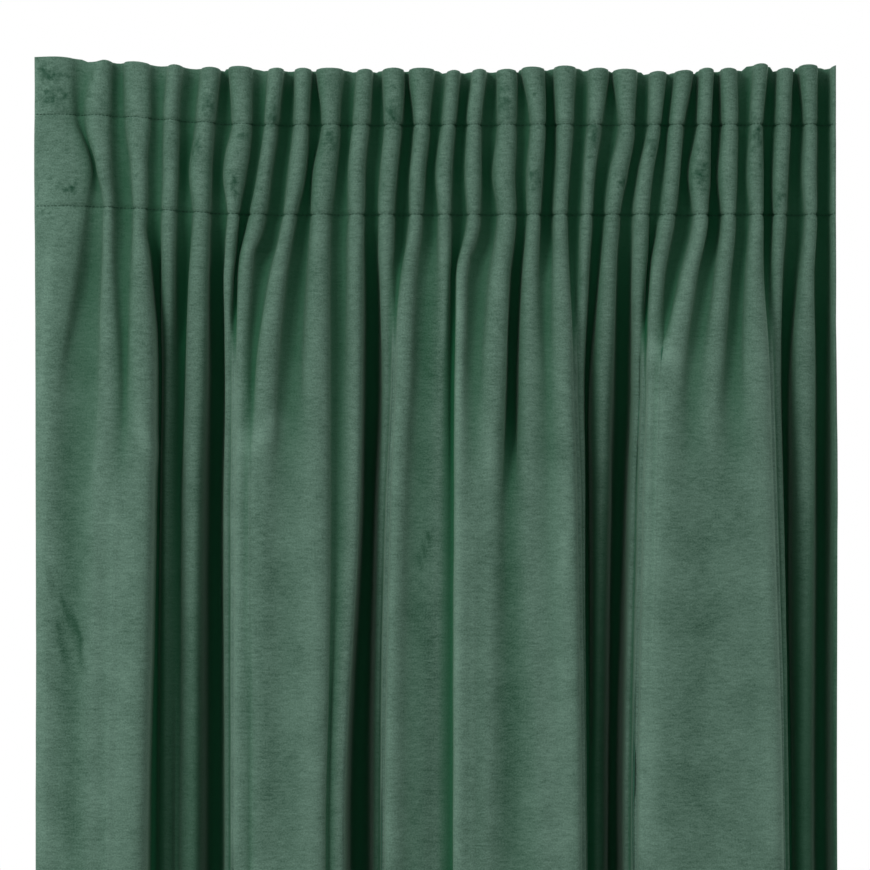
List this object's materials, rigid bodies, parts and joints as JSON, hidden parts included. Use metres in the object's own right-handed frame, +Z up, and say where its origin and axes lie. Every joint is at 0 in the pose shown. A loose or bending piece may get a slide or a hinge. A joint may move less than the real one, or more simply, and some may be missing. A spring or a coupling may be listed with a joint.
{
  "type": "gathered velvet curtain panel",
  "caption": "Full-length green velvet curtain panel with a gathered, stitched heading and a short frill, hanging in deep uneven folds.",
  "frame": {"origin": "middle of the panel's top edge, where the heading is held up", "axes": "+Z up along the drop, +X across the width to the right as seen from the pile side, -Y out of the pile side into the room"},
  "size_m": [0.7312, 0.1154, 2.464],
  "materials": {
    "velvet": "green cut-pile polyester velvet, soft sheen",
    "thread": "dark green polyester sewing thread"
  },
  "bodies": {
    "root": {"velvet_panel": "velvet"}
  },
  "joints": []
}
